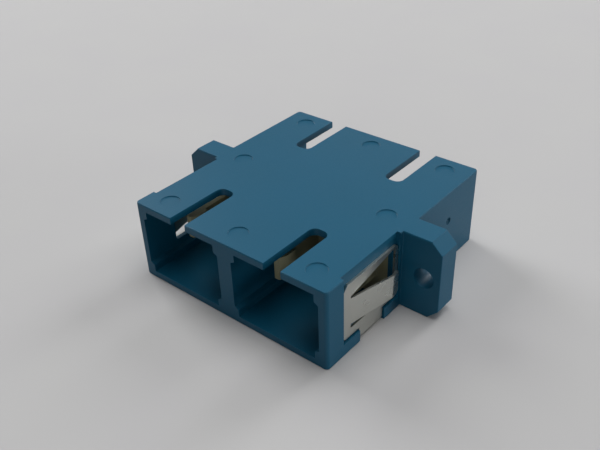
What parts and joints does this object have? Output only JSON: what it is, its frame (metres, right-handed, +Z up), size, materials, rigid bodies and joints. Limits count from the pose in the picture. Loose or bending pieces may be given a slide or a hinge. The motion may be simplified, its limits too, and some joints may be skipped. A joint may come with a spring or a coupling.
{
  "type": "duplex sc fibre adapter",
  "caption": "Flanged panel adapter that joins two pairs of SC fibre plugs end to end, with keyed ports, latch arms, split sleeves and a sprung steel panel clip.",
  "frame": {"origin": "bottom centre of the whole adapter, midway between its end faces", "axes": "+X across the ports, +Y along the fibres away from the clip end, +Z up"},
  "size_m": [0.0344, 0.0274, 0.0093],
  "materials": {
    "housing_plastic": "fine-textured moulded PBT, steel blue",
    "clip_steel": "rolled stainless sheet, satin",
    "latch_plastic": "natural cream moulding",
    "sleeve_ceramic": "ground zirconia ceramic, white"
  },
  "bodies": {
    "root": {"housing": "housing_plastic", "panel_clip": "clip_steel", "latch_front_left": "latch_plastic", "latch_rear_left": "latch_plastic", "latch_front_right": "latch_plastic", "latch_rear_right": "latch_plastic", "sleeve_left": "sleeve_ceramic", "sleeve_right": "sleeve_ceramic"}
  },
  "joints": []
}
